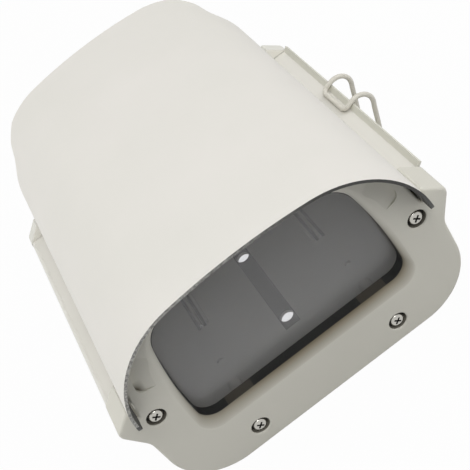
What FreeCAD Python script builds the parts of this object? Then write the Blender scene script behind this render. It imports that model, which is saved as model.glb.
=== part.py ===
import FreeCAD, Part
import math
import os
import Sketcher
from FreeCAD import Placement, Rotation, Vector

# Weatherproof housing for a small camera, in millimetres.
# The origin is the middle of the two bracket holes, on the underside of the floor.
# -Y is the window end, +X is the latch side and +Z is up.

# Driving dimensions, each kept once in the spreadsheet
SIZES = [
    # Lengths along the housing, from the window face backwards
    ("FrontFaceY", -73.0), ("FrontCapLength", 16.5), ("BodyLength", 118.0), ("RearCapLength", 7.0),
    # Moulded outline of the caps, seen from the window end
    ("SideHalf", 69.3), ("CornerTopZ", 24.5), ("SideHeight", 15.0), ("WaistRound", 10.0), ("PartingZ", 52.6),
    ("ShoulderOverhang", 6.0), ("ShoulderDrop", 1.4), ("ShoulderLift", 1.4), ("ShoulderRise", 9.7),
    ("ShoulderLowRound", 4.0), ("ShoulderHighRound", 3.0),
    ("SlotRise", 2.4), ("SlotClearance", 0.35), ("SlotEdgeRound", 1.0), ("SlotFloorRound", 0.4),
    ("CapFace", 3.0), ("CapSkirt", 2.5), ("CapEdgeRound", 1.2), ("CavityRound", 2.0),
    # Arch of the cover and caps, and the sunshield above it
    ("ArchInset", 11.0), ("ArchLift", 5.4), ("ArchFlare", 10.5), ("ArchCornerRadius", 31.0),
    ("ArchCrownRadius", 216.0), ("ArchRise", 44.4), ("CoverWall", 2.0), ("CoverInset", 0.8),
    ("ShieldStandOff", 2.1), ("ShieldFootGap", 1.0), ("ShieldCornerGrowth", 8.9),
    ("ShieldCrownGrowth", 10.0), ("ShieldRise", 10.2), ("ShieldSheet", 1.2),
    ("ShieldOverhang", 18.6), ("ShieldTipOverhang", 6.0), ("ShieldSweepRise", 26.0),
    ("ShieldSideOverhang", 4.0), ("ShieldTailOverhang", 15.5), ("ShieldTailDrop", 16.7),
    ("ShieldTailRise", 3.0), ("ShieldTailEndRise", 9.0), ("ShieldTailRadius", 6.0),
    ("ReliefRise", 0.9), ("ReliefMargin", 0.5),
    # Base tray
    ("BaseWall", 2.5), ("BaseFloor", 3.0), ("FlangeSheet", 1.7), ("CoverGap", 0.3),
    ("BracketHoleSpacing", 48.0), ("BracketHoleRadius", 3.25),
    ("FloorChannelWidth", 7.8), ("FloorChannelDepth", 0.8),
    ("RibX", 32.0), ("RibPitch", 3.4), ("RibWidth", 1.0), ("RibHeight", 1.4),
    ("RibStartY", 1.6), ("RibEndInset", 13.1), ("SpotX", 35.0), ("SpotY", -22.4), ("SpotRadius", 1.6),
    # Cap screws
    ("UpperScrewInset", 8.9), ("UpperScrewDrop", 3.0), ("LowerScrewX", 34.0), ("LowerScrewZ", 10.4),
    ("ScrewRadius", 1.5), ("ScrewClearance", 0.2), ("ScrewHeadRadius", 3.0), ("ScrewHeadHeight", 2.3),
    ("CrossLength", 0.55), ("CrossDepth", 1.0), ("CrossWidth", 0.8),
    ("WellClearance", 1.0), ("WellDepth", 3.3), ("WellRound", 0.6), ("LowerPostRadius", 5.4),
    ("ScrewSealSheet", 0.6), ("ScrewSealFit", 0.1),
    ("SlotSkin", 0.2), ("PortRadius", 2.9), ("ScrewBite", 8.0), ("PortLength", 11.0), ("ThreadFit", 0.02),
    # Window
    ("WindowMargin", 14.4), ("WindowLowZ", 24.7), ("WindowCornerRadius", 9.0), ("WindowBowRadius", 190.0),
    ("WindowTopMargin", 7.5), ("WindowTopRadius", 15.0), ("WindowRound", 2.4), ("TunnelWall", 2.4),
    ("PaneDepth", 7.4), ("PaneThickness", 3.0), ("PaneLap", 3.4), ("PaneGasket", 0.8), ("LiningSheet", 1.0),
    ("ClampSheet", 1.5),
    ("ClampFrameInset", 0.6), ("ClampSideInset", 3.9), ("UpperClampDrop", 25.0), ("LowerClampX", 26.0),
    ("LowerClampDrop", 7.7), ("ClampPostRadius", 3.0), ("ClampScrewRadius", 1.25), ("ClampHoleFit", 0.15),
    ("ClampTabMargin", 0.2), ("ClampHeadRadius", 2.3), ("ClampHeadHeight", 1.5), ("ClampBite", 5.0),
    ("ClampScrewTip", 0.5),
    # Hollow beside the arch's rim, on each side of the window
    ("RecessInset", 4.0), ("RecessLift", 3.66684), ("RecessDepth", 1.4), ("RecessWidth", 7.2),
    ("RecessTurn", 30.0), ("RecessRound", 3.2),
    # Hinge along the left edge
    ("HingeInset", 2.1), ("HingeRise", 0.3), ("BeadRadius", 1.8), ("HingePinRadius", 1.0),
    ("RunningFit", 0.05), ("PinSocket", 3.0), ("PinEndPlay", 0.2),
    # Latch on the right; the loops are placed from the lip's crest
    ("LipInset", 1.0), ("LipRise", 2.0), ("LipSheet", 1.1), ("WireRadius", 1.0), ("WireFrontY", -3.6),
    ("WireSpan", 19.3), ("CrossbarInset", 2.2), ("LatchReach", 11.0), ("LatchLift", 6.5),
    ("LoopOutX", 8.5), ("LoopOutDrop", 5.1), ("LoopTopX", 5.8), ("LoopTopRise", 0.4),
    ("LoopCrestX", 1.0), ("LoopCrestRise", 2.0), ("LoopRadius", 3.4), ("CrestRadius", 2.6), ("WireBend", 2.2),
    ("EarSheet", 1.2), ("EarInset", 3.0), ("EarRadius", 3.4), ("WireGrip", 0.8), ("LatchPlate", 1.2),
    ("PlateHalf", 6.0), ("RivetRadius", 1.6), ("RivetSpacing", 6.6), ("RivetHeadRadius", 3.0),
    ("RivetHeadHeight", 1.0),
    # Cable glands in the rear cap
    ("GlandX", 21.0), ("GlandZ", 25.0), ("GlandThreadRadius", 8.0), ("GlandHoleFit", 0.2), ("GlandBore", 4.6),
    ("GlandHexFlats", 22.0), ("GlandHex", 5.0), ("GlandBack", 11.0), ("NutThickness", 4.0),
    ("DomeLength", 13.0), ("DomeRadius", 10.6), ("DomeRound", 3.0), ("DomeGap", 0.3), ("DomeMouthFit", 0.6),
    ("NeckRadius", 7.4), ("NeckLength", 7.0), ("NeckFit", 0.1), ("SealLength", 2.2), ("SealBore", 3.0),
    ("GlandWasher", 1.5), ("GlandWasherInset", 0.6),
    # Stand-offs that carry the sunshield
    ("StudX", 25.0), ("StudFrontInset", 14.5), ("StudRearInset", 19.5), ("StudRadius", 2.0), ("StudFit", 0.2),
    ("StudTip", 0.8), ("SpacerRadius", 5.0), ("NutFlats", 7.0), ("NutHeight", 3.2), ("WasherRadius", 4.6),
    ("WasherSheet", 0.8),
    # Seals
    ("GasketThickness", 0.8), ("GasketInset", 0.5), ("GasketDrop", 1.5), ("SealWidth", 2.4), ("SealDepth", 1.2),
    ("SealInset", 6.3), ("SealGap", 0.1),
]

doc = FreeCAD.newDocument("CameraHousing")
sheet = doc.addObject("Spreadsheet::Sheet", "Sizes")
for row, (alias, value) in enumerate(SIZES, start=1):
    sheet.set("A%d" % row, alias)
    sheet.set("B%d" % row, str(value))
    sheet.setAlias("B%d" % row, alias)
doc.recompute()


def size(alias):
    """A driving dimension, read from its cell."""
    return float(sheet.get(alias))


# Planes across the housing, as expressions of the sheet
FRONT = "Sizes.FrontFaceY"
FRONT_JOINT = FRONT + " + Sizes.FrontCapLength"
REAR_JOINT = FRONT_JOINT + " + Sizes.BodyLength"
REAR = REAR_JOINT + " + Sizes.RearCapLength"
BASE_FRONT = FRONT_JOINT + " + Sizes.GasketThickness"
BASE_REAR = REAR_JOINT + " - Sizes.GasketThickness"
ARCH_TOP = "Sizes.PartingZ + Sizes.ArchRise"


def value(expression):
    """The number that an expression of the sheet comes to."""
    return float(sheet.evalExpression(expression))


# Half widths and heights that follow from the sheet's values
SHOULDER_HALF = size("SideHalf") + size("ShoulderOverhang")
FLANGE_HALF = SHOULDER_HALF - size("CoverInset")
BASE_HALF = size("SideHalf") - size("CoverInset")
BASE_INNER = BASE_HALF - size("BaseWall")
WAIST_Z = size("CornerTopZ") + size("SideHeight")
SHOULDER_LOW_Z = size("PartingZ") - size("ShoulderDrop")
SLOT_FLOOR_Z = size("PartingZ") + size("SlotRise")
ARCH_FOOT_HALF = SHOULDER_HALF - size("ArchInset")
ARCH_FOOT_Z = size("PartingZ") + size("ArchLift")
ARCH_TOP_Z = value(ARCH_TOP)
SHIELD_FOOT_HALF = ARCH_FOOT_HALF + size("ShieldStandOff")
SHIELD_FOOT_Z = SLOT_FLOOR_Z + size("ShieldFootGap")
SHIELD_TOP_Z = ARCH_TOP_Z + size("ShieldRise")
SHIELD_CROWN_RADIUS = size("ArchCrownRadius") + size("ShieldCrownGrowth")
FLANGE_TOP_Z = size("PartingZ") + size("CoverGap") + size("FlangeSheet")
WINDOW_HALF = ARCH_FOOT_HALF - size("WindowMargin")
WINDOW_TOP_Z = ARCH_TOP_Z - size("WindowTopMargin")
HINGE = (size("HingeInset") - SHOULDER_HALF, size("PartingZ") + size("HingeRise"))
LATCH = (BASE_HALF + size("LatchReach"), size("CornerTopZ") + size("LatchLift"))
LIP_FOOT_X = FLANGE_HALF - size("LipInset")

PARTS = []


def sub_part(obj, label):
    """Names a finished sub-part; its label is its file's name."""
    obj.Label = label
    PARTS.append(obj)
    return obj


# Outlines are lists of edges in the XZ plane, drawn as (x, z) pairs
def line(start, end):
    return ("line", start, end)


def arc(centre, radius, start_deg, end_deg):
    return ("arc", centre, radius, start_deg, end_deg)


def on_circle(centre, radius, angle_deg):
    turn = math.radians(angle_deg)
    return (centre[0] + radius * math.cos(turn), centre[1] + radius * math.sin(turn))


def ends(edge):
    if edge[0] == "line":
        return edge[1], edge[2]
    return on_circle(edge[1], edge[2], edge[3]), on_circle(edge[1], edge[2], edge[4])


def closed(edges):
    """Joins one edge to the next with a straight line wherever they don't meet."""
    outline = []
    for edge, following in zip(edges, edges[1:] + edges[:1]):
        outline.append(edge)
        end = ends(edge)[1]
        start = ends(following)[0]
        if math.dist(end, start) > 1e-6:
            outline.append(line(end, start))
    return outline


def mirrored(edges):
    """The same run of edges on the -X side, in the direction that carries on from the first."""
    flipped = []
    for edge in reversed(edges):
        if edge[0] == "line":
            flipped.append(line((-edge[2][0], edge[2][1]), (-edge[1][0], edge[1][1])))
        else:
            centre = (-edge[1][0], edge[1][1])
            flipped.append(arc(centre, edge[2], 180 - edge[4], 180 - edge[3]))
    return flipped


def run(points, radii):
    """A run of lines through the points, with each corner between them rounded to its radius."""
    edges = []
    start = points[0]
    for before, corner, after, radius in zip(points, points[1:], points[2:], radii):
        into = Vector(corner[0] - before[0], corner[1] - before[1], 0).normalize()
        out = Vector(after[0] - corner[0], after[1] - corner[1], 0).normalize()
        side = 1 if into.cross(out).z > 0 else -1
        turn = into.getAngle(out)
        first = Vector(*corner, 0) - into * radius * math.tan(turn / 2)
        centre = first + Vector(-into.y, into.x, 0) * radius * side
        angle = math.degrees(math.atan2(first.y - centre.y, first.x - centre.x))
        edges.append(line(start, (first.x, first.y)))
        edges.append(arc((centre.x, centre.y), radius, angle, angle + side * math.degrees(turn)))
        start = ends(edges[-1])[1]
    edges.append(line(start, points[-1]))
    return edges


def rectangle(low, high):
    corners = [low, (high[0], low[1]), high, (low[0], high[1])]
    return [line(start, end) for start, end in zip(corners, corners[1:] + corners[:1])]


def circle(centre, radius):
    return [arc(centre, radius, 0, 360)]


# The XZ plane faces -Y, so what is measured along +Y there is turned round
FACES_BACK = {"XZ_Plane": True, "XY_Plane": False, "YZ_Plane": False}


def draw(body, edges, name, height, holes, role, shut=True):
    """Draws outlines as a sketch on one of the body's own planes, moved to a height, an expression."""
    sketch = body.newObject("Sketcher::SketchObject", name)
    plane = next(item for item in body.Origin.OriginFeatures if item.Role == role)
    sketch.AttachmentSupport = (plane, [""])
    sketch.MapMode = "FlatFace"
    sketch.setExpression("AttachmentOffset.Base.z", ("-(%s)" if FACES_BACK[role] else "%s") % height)
    for outline in (edges,) + tuple(holes):
        for edge in closed(outline) if shut else outline:
            start, end = ends(edge)
            if edge[0] == "line":
                drawn = Part.LineSegment(Vector(*start, 0), Vector(*end, 0))
            elif edge[4] - edge[3] == 360:
                drawn = Part.Circle(Vector(*edge[1], 0), Vector(0, 0, 1), edge[2])
            else:
                middle = on_circle(edge[1], edge[2], (edge[3] + edge[4]) / 2)
                drawn = Part.Arc(*[Vector(*point, 0) for point in (start, middle, end)])
            sketch.addConstraint(Sketcher.Constraint("Block", sketch.addGeometry(drawn, False)))
    return sketch


def new_body(label):
    return sub_part(doc.addObject("PartDesign::Body", label), label)


def pad(body, edges, start, end, name, holes=(), role="XZ_Plane"):
    """Adds an outline to the body from one height to another; both heights are expressions."""
    sketch = draw(body, edges, name + "Sketch", start, holes, role)
    feature = body.newObject("PartDesign::Pad", name)
    feature.Profile = sketch
    feature.Reversed = FACES_BACK[role]
    feature.setExpression("Length", "%s - (%s)" % (end, start))
    doc.recompute()
    return feature


def pocket(body, edges, start, end, name, holes=(), role="XZ_Plane"):
    """Cuts an outline out of the body from one height to another."""
    before = body.Shape.Volume
    sketch = draw(body, edges, name + "Sketch", start, holes, role)
    feature = body.newObject("PartDesign::Pocket", name)
    feature.Profile = sketch
    feature.Reversed = not FACES_BACK[role]
    feature.setExpression("Length", "%s - (%s)" % (end, start))
    doc.recompute()
    if not body.Shape.Volume < before:
        raise RuntimeError(name + " cuts nothing")
    return feature


def arch(foot_half, foot_z, low_z, flare, corner_radius, crown_radius, top_z, inset=0.0):
    """Right foot, over the crown, to the left foot: flared flanks, corner arcs and a flat crown arc."""
    tilt = math.radians(flare)
    along = Vector(-math.sin(tilt), math.cos(tilt), 0)
    inward = Vector(-math.cos(tilt), -math.sin(tilt), 0)
    foot = Vector(foot_half, foot_z, 0) + inward * inset
    crown = Vector(0, top_z - crown_radius, 0)
    reach = foot + inward * (corner_radius - inset) - crown
    slide = reach.dot(along)
    spread = crown_radius - corner_radius
    shift = -slide + math.sqrt(slide ** 2 - reach.dot(reach) + spread ** 2)
    centre = crown + reach + along * shift
    turn = math.degrees(math.atan2(centre.y - crown.y, centre.x - crown.x))
    corner = arc((centre.x, centre.y), corner_radius - inset, flare, turn)
    low = foot + along * ((low_z - foot.y) / math.cos(tilt))
    right = [line((low.x, low.y), ends(corner)[0]), corner]
    top = arc((crown.x, crown.y), crown_radius - inset, turn, 180 - turn)
    return right + [top] + mirrored(right)


def arch_outline(inset=0.0, low_z=None):
    """The housing's arch, moved inwards by an inset."""
    return arch(ARCH_FOOT_HALF, ARCH_FOOT_Z, SLOT_FLOOR_Z if low_z is None else low_z, size("ArchFlare"),
                size("ArchCornerRadius"), size("ArchCrownRadius"), ARCH_TOP_Z, inset)


def shield_outline(inset=0.0):
    """The sunshield's outer section, moved inwards by an inset."""
    return arch(SHIELD_FOOT_HALF, SHIELD_FOOT_Z, SHIELD_FOOT_Z, size("ArchFlare"),
                size("ArchCornerRadius") + size("ShieldCornerGrowth"), SHIELD_CROWN_RADIUS, SHIELD_TOP_Z, inset)


def slot_wall(height):
    """Half width of a shield slot's outer wall at a height: the shield's flank and its clearance."""
    tilt = math.radians(size("ArchFlare"))
    flank = SHIELD_FOOT_HALF + (SHIELD_FOOT_Z - height) * math.tan(tilt)
    return flank + size("SlotClearance") / math.cos(tilt)


def cap_outline():
    """The moulded end: flat bottom, ogee sides, shoulders, shield slots and the arch between them."""
    foot = ends(arch_outline()[0])[0]
    shoulder_top = size("PartingZ") + size("ShoulderRise")
    right = run([(0, 0), (size("SideHalf"), 0), (size("SideHalf"), WAIST_Z),
                 (SHOULDER_HALF, SHOULDER_LOW_Z), (SHOULDER_HALF, size("PartingZ") + size("ShoulderLift")),
                 (slot_wall(shoulder_top), shoulder_top), (slot_wall(SLOT_FLOOR_Z), SLOT_FLOOR_Z), foot],
                [size("CornerTopZ"), size("WaistRound"), size("ShoulderLowRound"), size("ShoulderHighRound"),
                 size("SlotEdgeRound"), size("SlotFloorRound")])
    return right + arch_outline() + mirrored(right)


def cap_cavity(wall):
    """The hollow behind a cap's face: a U below the slots, opening into the arch."""
    ceiling = SLOT_FLOOR_Z - wall
    foot = ends(arch_outline(wall, ceiling)[0])[0]
    side = size("SideHalf") - wall
    right = run([(0, wall), (side, wall), (side, ceiling), foot],
                [size("CornerTopZ") - wall, size("CavityRound")])
    return right + arch_outline(wall, ceiling) + mirrored(right)


def screw_centres():
    """The four cap screws, seen from the window end; the upper pair comes first."""
    upper = (size("SideHalf") - size("UpperScrewInset"), size("PartingZ") - size("UpperScrewDrop"))
    return [(side * x, z) for x, z in (upper, (size("LowerScrewX"), size("LowerScrewZ"))) for side in (-1, 1)]


def window_outline(spread=0.0):
    """The window: a level sill, rounded lower corners, bowed sides and an arched top."""
    corner = size("WindowCornerRadius")
    sill = size("WindowLowZ")
    bow = size("WindowBowRadius")
    top_radius = size("WindowTopRadius")
    half = WINDOW_HALF
    side_centre = Vector(half - bow, sill + corner, 0)
    crown = Vector(0, WINDOW_TOP_Z - size("ArchCrownRadius"), 0)
    apart = side_centre - crown
    to_side = bow - top_radius
    to_crown = size("ArchCrownRadius") - top_radius
    along = (to_crown ** 2 - to_side ** 2 + apart.Length ** 2) / (2 * apart.Length)
    across = math.sqrt(to_crown ** 2 - along ** 2)
    unit = apart.normalize()
    centre = crown + unit * along + Vector(unit.y, -unit.x, 0) * across
    if centre.x < 0:
        centre = crown + unit * along - Vector(unit.y, -unit.x, 0) * across
    side_turn = math.degrees(math.atan2(centre.y - side_centre.y, centre.x - side_centre.x))
    top_turn = math.degrees(math.atan2(centre.y - crown.y, centre.x - crown.x))
    low_centre = (half - corner, sill + corner)
    right = [line((0, sill - spread), (low_centre[0], sill - spread)),
             arc(low_centre, corner + spread, -90, 0),
             arc((side_centre.x, side_centre.y), bow + spread, 0, side_turn),
             arc((centre.x, centre.y), top_radius + spread, side_turn, top_turn)]
    top = arc((crown.x, crown.y), size("ArchCrownRadius") + spread, top_turn, 180 - top_turn)
    return right + [top] + mirrored(right)


def edges_near(shape, test):
    """Names of the edges whose every corner and middle passes the test."""
    names = []
    for index, edge in enumerate(shape.Edges, start=1):
        points = [edge.valueAt(edge.FirstParameter + share * (edge.LastParameter - edge.FirstParameter))
                  for share in (0, 0.5, 1)]
        if all(test(point) for point in points):
            names.append("Edge%d" % index)
    return names


def round_edges(body, test, alias, name):
    """Rounds the edges that pass the test with a radius from the sheet."""
    base = body.Tip
    feature = body.newObject("PartDesign::Fillet", name)
    feature.Base = (base, edges_near(base.Shape, test))
    feature.setExpression("Radius", "Sizes.%s" % alias)
    doc.recompute()
    return feature


def cap(label, face, inner, joint, outward):
    """A moulded end cap: a face plate, a skirt round its edge and a post behind each screw."""
    body = new_body(label)
    low, high = (face, joint) if outward < 0 else (joint, face)
    pad(body, cap_outline(), low, high, label + "_block")
    round_edges(body, lambda point: abs(point.y - value(face)) < 1e-4, "CapEdgeRound", label + "_rim")
    low, high = (inner, joint) if outward < 0 else (joint, inner)
    pocket(body, cap_cavity(size("CapSkirt")), low, high, label + "_hollow")
    for index, centre in enumerate(screw_centres()):
        post = size("LowerPostRadius") if index > 1 else SLOT_FLOOR_Z - centre[1] - size("SlotSkin")
        pad(body, circle(centre, post), low, high, "%s_post_%d" % (label, index))
    return body


def wells(body, label, face, joint, outward):
    """A round well with a soft rim for each screw head, and the screw's hole on through the post."""
    radius = size("ScrewHeadRadius") + size("WellClearance")
    for index, centre in enumerate(screw_centres()):
        deep = "%s %s Sizes.WellDepth" % (face, "+" if outward < 0 else "-")
        low, high = (face, deep) if outward < 0 else (deep, face)
        pocket(body, circle(centre, radius), low, high, "%s_well_%d" % (label, index))
    round_edges(body, lambda point: abs(point.y - value(face)) < 1e-4
                and any(abs(math.dist((point.x, point.z), centre) - radius) < 1e-3 for centre in screw_centres()),
                "WellRound", label + "_well_rims")
    for index, centre in enumerate(screw_centres()):
        low, high = (face, joint) if outward < 0 else (joint, face)
        pocket(body, circle(centre, size("ScrewRadius") + size("ScrewClearance")), low, high,
               "%s_hole_%d" % (label, index))


def hollow(body, side):
    """A hollow in the window face along one flank of the arch: deepest at the rim, with a foot below the corner."""
    turn_z = ends(arch_outline(size("RecessInset"))[1])[0][1]
    flank, corner = arch_outline(size("RecessInset"), turn_z - size("RecessLift"))[:2]
    rim = [flank, arc(corner[1], corner[2], corner[3], corner[3] + size("RecessTurn"))]
    name = "hollow_%s" % ("right" if side > 0 else "left")
    start = ends(flank)[0]
    rim_path = draw(body, rim if side > 0 else mirrored(rim), name + "_path", FRONT, (), "XZ_Plane", shut=False)
    face = size("FrontFaceY")
    width = -side * size("RecessWidth")
    section = [(0, face - 1), (0, face + size("RecessDepth")), (width, face), (width, face - 1)]
    profile = draw(body, [line(*pair) for pair in zip(section, section[1:] + section[:1])], name + "_section",
                   "0", (), "XY_Plane")
    profile.setExpression("AttachmentOffset.Base.z", None)
    profile.AttachmentOffset = Placement(Vector(side * start[0], 0, start[1]),
                                         Rotation(Vector(0, 1, 0), -side * size("ArchFlare")))
    before = body.Shape.Volume
    pipe = body.newObject("PartDesign::SubtractivePipe", name)
    pipe.Profile = profile
    pipe.Spine = rim_path
    doc.recompute()
    if not body.Shape.Volume < before:
        raise RuntimeError(name + " cuts nothing")
    round_edges(body, lambda point: math.dist((side * point.x, point.z), start) < 1e-3
                and point.y < face + size("RecessDepth") + 1e-3, "RecessRound", name + "_foot")


def backward(edges):
    """The same run of edges, drawn the other way."""
    turned = []
    for edge in reversed(edges):
        if edge[0] == "line":
            turned.append(line(edge[2], edge[1]))
        else:
            turned.append(arc(edge[1], edge[2], edge[4], edge[3]))
    return turned


def solid(kind, name, place=("0", "0", "0"), axis="Z", **dimensions):
    """A Part primitive whose dimensions and place are expressions of the sheet."""
    item = doc.addObject("Part::" + kind, name)
    if axis == "Y":
        item.Placement.Rotation = Rotation(Vector(1, 0, 0), -90)
    if axis == "X":
        item.Placement.Rotation = Rotation(Vector(0, 1, 0), 90)
    for direction, expression in zip("xyz", place):
        item.setExpression("Placement.Base." + direction, expression)
    for dimension, expression in dimensions.items():
        item.setExpression(dimension, expression)
    return item


def fused(name, items):
    joined = doc.addObject("Part::MultiFuse", name)
    joined.Shapes = items
    return joined


def cut(name, base, tool):
    result = doc.addObject("Part::Cut", name)
    result.Base = base
    result.Tool = tool
    return result


def group(label, items):
    """Separate solids that share one node."""
    compound = doc.addObject("Part::Compound", label)
    compound.Links = items
    return sub_part(compound, label)


def cover_outline():
    """Left bead, left flange, arch, right flange and the slanted lip, as one folded section."""
    gap_z = size("PartingZ") + size("CoverGap")
    outside = arch_outline(size("CoverInset"), FLANGE_TOP_Z)
    inside = arch_outline(size("CoverInset") + size("CoverWall"), gap_z)
    slope = math.sqrt(0.5)
    crest = (LIP_FOOT_X + size("LipRise"), FLANGE_TOP_Z + size("LipRise"))
    edge = (crest[0] + size("LipSheet") * slope, crest[1] - size("LipSheet") * slope)
    under = (edge[0] - (edge[1] - gap_z), gap_z)
    top_turn = math.degrees(math.asin((FLANGE_TOP_Z - HINGE[1]) / size("BeadRadius")))
    low_turn = 360 + math.degrees(math.asin((gap_z - HINGE[1]) / size("BeadRadius")))
    foot = ends(inside[0])[0]
    lip = [line(foot, under), line(under, edge), line(edge, crest), line(crest, (LIP_FOOT_X, FLANGE_TOP_Z))]
    return lip + outside + [arc(HINGE, size("BeadRadius"), top_turn, low_turn)] + backward(inside)


# Base tray
base = new_body("base_shell")
outer_run = run([(0, 0), (BASE_HALF, 0), (BASE_HALF, WAIST_Z), (FLANGE_HALF, SHOULDER_LOW_Z),
                 (FLANGE_HALF, size("PartingZ"))],
                [size("CornerTopZ"), size("WaistRound"), size("ShoulderHighRound")])
inner_run = run([(0, size("BaseFloor")), (BASE_INNER, size("BaseFloor")), (BASE_INNER, size("PartingZ"))],
                [size("CornerTopZ") - size("BaseWall")])
pad(base, outer_run + backward(inner_run) + mirrored(backward(inner_run)) + mirrored(outer_run),
    BASE_FRONT, BASE_REAR, "base_section")


def box_outline(centre, width, height):
    return rectangle((centre[0] - width / 2, centre[1] - height / 2),
                     (centre[0] + width / 2, centre[1] + height / 2))


pocket(base, circle(HINGE, size("BeadRadius") + size("CoverGap")), BASE_FRONT, BASE_REAR, "bead_channel")
seal_x = FLANGE_HALF - size("SealInset")
for side in (-1, 1):
    middle = (side * seal_x, size("PartingZ") - size("SealDepth") / 2)
    pocket(base, box_outline(middle, size("SealWidth"), size("SealDepth")), BASE_FRONT, BASE_REAR,
           "seal_groove_%d" % (side + 1))
for index, (x, z) in enumerate(screw_centres()):
    port = size("PortRadius")
    if index < 2:
        wall = (math.copysign(BASE_INNER + 0.5, x), z + port)
        web = rectangle((min(x, wall[0]), z - port), (max(x, wall[0]), z + port))
    else:
        web = rectangle((x - port, size("BaseFloor") - 0.5), (x + port, z))
    for end, (low, high) in enumerate(((BASE_FRONT, BASE_FRONT + " + Sizes.PortLength"),
                                       (BASE_REAR + " - Sizes.PortLength", BASE_REAR))):
        pad(base, circle((x, z), port), low, high, "port_%d_%d" % (index, end))
        pad(base, web, low, high, "port_web_%d_%d" % (index, end))
        pocket(base, circle((x, z), size("ScrewRadius") + size("ThreadFit")), low, high,
               "port_thread_%d_%d" % (index, end))
channel = size("FloorChannelWidth") / 2
spacing = size("BracketHoleSpacing") / 2
pocket(base, rectangle((-channel, -spacing - 2 * channel), (channel, spacing + 2 * channel)),
       "Sizes.BaseFloor - Sizes.FloorChannelDepth", "Sizes.BaseFloor + 1", "floor_channel", role="XY_Plane")
for side in (-1, 1):
    pocket(base, circle((0, side * spacing), size("BracketHoleRadius")), "-1", "Sizes.BaseFloor + 1",
           "bracket_hole_%d" % (side + 1), role="XY_Plane")
    pocket(base, circle((side * size("SpotX"), size("SpotY")), size("SpotRadius")), "Sizes.BaseFloor / 2",
           "Sizes.BaseFloor + 1", "floor_spot_%d" % (side + 1), role="XY_Plane")
    for step in (-0.5, 0.5):
        x = side * size("RibX") + step * size("RibPitch")
        low = (x - size("RibWidth") / 2, size("RibStartY"))
        high = (x + size("RibWidth") / 2, value(BASE_REAR) - size("RibEndInset"))
        pad(base, rectangle(low, high), "Sizes.BaseFloor - 0.2", "Sizes.BaseFloor + Sizes.RibHeight",
            "floor_rib_%d_%d" % (side + 1, step * 2 + 1), role="XY_Plane")

# Front cap with its window
CAP_INNER = FRONT + " + Sizes.CapFace"
PANE_FRONT = FRONT + " + Sizes.PaneDepth"
PANE_SEAT = PANE_FRONT + " - Sizes.PaneGasket"
PANE_BACK = PANE_FRONT + " + Sizes.PaneThickness"
CLAMP_BACK = PANE_BACK + " + Sizes.ClampSheet"
front_cap = cap("front_cap", FRONT, CAP_INNER, FRONT_JOINT, -1)
pad(front_cap, window_outline(size("TunnelWall")), CAP_INNER, PANE_SEAT, "window_tunnel")
clamp_places = ((WINDOW_HALF + size("ClampSideInset"), ARCH_TOP_Z - size("UpperClampDrop")),
                (size("LowerClampX"), size("WindowLowZ") - size("LowerClampDrop")))
clamp_centres = [(side * x, z) for x, z in clamp_places for side in (-1, 1)]
for index, centre in enumerate(clamp_centres):
    pad(front_cap, circle(centre, size("ClampPostRadius")), CAP_INNER, PANE_BACK, "clamp_post_%d" % index)
    pocket(front_cap, circle(centre, size("ClampScrewRadius") + size("ThreadFit")), PANE_BACK + " - Sizes.ClampBite", PANE_BACK,
           "clamp_thread_%d" % index)
pocket(front_cap, window_outline(), FRONT, PANE_SEAT, "window_opening")
round_edges(front_cap, lambda point: abs(point.y - value(FRONT)) < 1e-4 and abs(point.x) < WINDOW_HALF + 0.1
            and size("WindowLowZ") - 0.1 < point.z < WINDOW_TOP_Z + 0.1, "WindowRound", "window_rim")
wells(front_cap, "front_cap", FRONT, FRONT_JOINT, -1)
for side in (-1, 1):
    hollow(front_cap, side)

# Rear cap with two gland holes
REAR_INNER = REAR + " - Sizes.CapFace"
rear_cap = cap("rear_cap", REAR, REAR_INNER, REAR_JOINT, 1)
wells(rear_cap, "rear_cap", REAR, REAR_JOINT, 1)
gland_centres = {"left": (-size("GlandX"), size("GlandZ")), "right": (size("GlandX"), size("GlandZ"))}
for side, centre in gland_centres.items():
    pocket(rear_cap, circle(centre, size("GlandThreadRadius") + size("GlandHoleFit")), REAR_INNER, REAR, "gland_hole_" + side)
for body, low, high in ((front_cap, FRONT_JOINT + " - Sizes.PinSocket", FRONT_JOINT),
                        (rear_cap, REAR_JOINT, REAR_JOINT + " + Sizes.PinSocket")):
    pocket(body, circle(HINGE, size("HingePinRadius") + size("RunningFit")), low, high, "pin_socket")

# Top cover: arch, flanges, hinge bead and lip
COVER_FRONT = FRONT_JOINT + " + Sizes.CoverGap"
COVER_REAR = REAR_JOINT + " - Sizes.CoverGap"
cover = new_body("top_cover")
pad(cover, cover_outline(), COVER_FRONT, COVER_REAR, "cover_section")
pocket(cover, circle(HINGE, size("HingePinRadius") + size("RunningFit")), COVER_FRONT, COVER_REAR, "pin_bore")
stud_rows = (value(FRONT_JOINT) + size("StudFrontInset"), value(REAR_JOINT) - size("StudRearInset"))
stud_centres = [(side * size("StudX"), y) for side in (-1, 1) for y in stud_rows]
for index, centre in enumerate(stud_centres):
    pocket(cover, circle(centre, size("StudRadius") + size("StudFit")), ARCH_TOP + " - 8", ARCH_TOP + " + 1",
           "stud_hole_%d" % index, role="XY_Plane")


def crown_z(top_z, radius, inset, x):
    """Height of a crown arc at a distance from the middle."""
    return top_z - radius + math.sqrt((radius - inset) ** 2 - x ** 2)


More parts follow.
